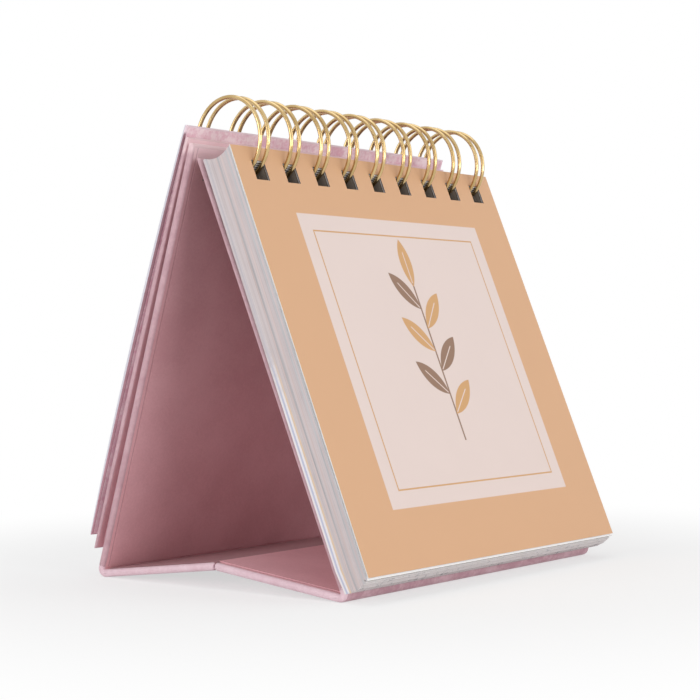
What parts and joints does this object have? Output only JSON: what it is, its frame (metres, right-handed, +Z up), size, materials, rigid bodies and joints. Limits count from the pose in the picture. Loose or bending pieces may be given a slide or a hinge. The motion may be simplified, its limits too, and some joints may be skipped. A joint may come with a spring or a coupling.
{
  "type": "standing flip book",
  "caption": "Small square flip book of punched leaves and board covers on a gold twin-loop wire, hung from a folding pink case that stands as a tent on its own hinged base.",
  "frame": {"origin": "centre of the footprint of the whole object, on the surface it stands on", "axes": "+Z up; the leaves face -Y and are turned over the wire to +Y; the wire's axis is along X"},
  "size_m": [0.12, 0.1015, 0.133],
  "materials": {
    "case_paper": "matt pink covering paper with a fine mottle",
    "liner_paper": "matt deep pink lining paper",
    "greyboard": "pressed grey bookbinding board",
    "printed_paper": "smooth printed card, peach",
    "leaf_paper": "smooth white card, cut edges",
    "gold_wire": "polished gold-coloured wire"
  },
  "bodies": {
    "stand_front": {"front_leg_greyboard": "greyboard", "front_leg_case_paper": "case_paper", "front_leg_liner": "liner_paper", "front_hinge": "case_paper", "wire_binding": "gold_wire", "leaf_02": "leaf_paper", "leaf_03": "leaf_paper", "leaf_04": "leaf_paper", "leaf_05": "leaf_paper", "leaf_06": "leaf_paper", "leaf_07": "leaf_paper", "leaf_08": "leaf_paper", "leaf_09": "leaf_paper", "leaf_10": "leaf_paper", "leaf_11": "leaf_paper", "leaf_12": "leaf_paper", "leaf_13": "leaf_paper", "leaf_14": "leaf_paper", "leaf_15": "leaf_paper", "leaf_16": "leaf_paper"},
    "stand_rear": {"rear_leg_greyboard": "greyboard", "rear_leg_case_paper": "case_paper", "rear_leg_liner": "liner_paper", "rear_hinge": "case_paper", "back_cover_greyboard": "greyboard", "back_cover_case_paper": "case_paper", "back_cover_liner": "liner_paper"},
    "base_front": {"base_front_greyboard": "greyboard", "base_front_case_paper": "case_paper", "base_front_liner": "liner_paper", "mid_fold_front": "case_paper"},
    "base_rear": {"base_rear_greyboard": "greyboard", "base_rear_case_paper": "case_paper", "base_rear_liner": "liner_paper", "mid_fold_rear": "case_paper"},
    "front_cover": {"front_cover_greyboard": "greyboard", "front_cover_case_paper": "case_paper", "front_cover_liner": "liner_paper"},
    "leaf_margin": {"leaf_01_margin": "printed_paper"},
    "leaf_sheet": {"leaf_01_sheet": "printed_paper"}
  },
  "joints": [
    {"name": "fold", "type": "hinge", "parent": "stand_front", "child": "stand_rear", "pos_m": [0, 0.00146, 0.12084], "axis": [-1, 0, 0], "range_deg": [0, 12]},
    {"name": "base_front_fold", "type": "hinge", "parent": "stand_front", "child": "base_front", "pos_m": [0, -0.04069, 0.0024], "axis": [1, 0, 0], "range_deg": [0, 32.65], "deforming": ["mid_fold_front"]},
    {"name": "base_rear_fold", "type": "hinge", "parent": "stand_rear", "child": "base_rear", "pos_m": [0, 0.04521, 0.0024], "axis": [-1, 0, 0], "range_deg": [0, 32.97], "deforming": ["mid_fold_rear"]},
    {"name": "front_cover_turn", "type": "hinge", "parent": "stand_rear", "child": "front_cover", "pos_m": [0, 0.00146, 0.12084], "axis": [1, 0, 0], "range_deg": [0, 175]},
    {"name": "leaf_turn", "type": "hinge", "parent": "stand_front", "child": "leaf_margin", "pos_m": [0, 0.00146, 0.12084], "axis": [-1, 0, 0], "range_deg": [0, 176]},
    {"name": "leaf_bend", "type": "hinge", "parent": "leaf_margin", "child": "leaf_sheet", "pos_m": [0, -0.01049, 0.10726], "axis": [-1, 0, 0], "range_deg": [0, 141.86]}
  ],
  "couplings": [
    {"joint": "base_front_fold", "follows": "fold", "ratio": 2.7209},
    {"joint": "base_rear_fold", "follows": "fold", "ratio": 2.7474},
    {"joint": "leaf_bend", "follows": "leaf_turn", "ratio": 0.806}
  ]
}
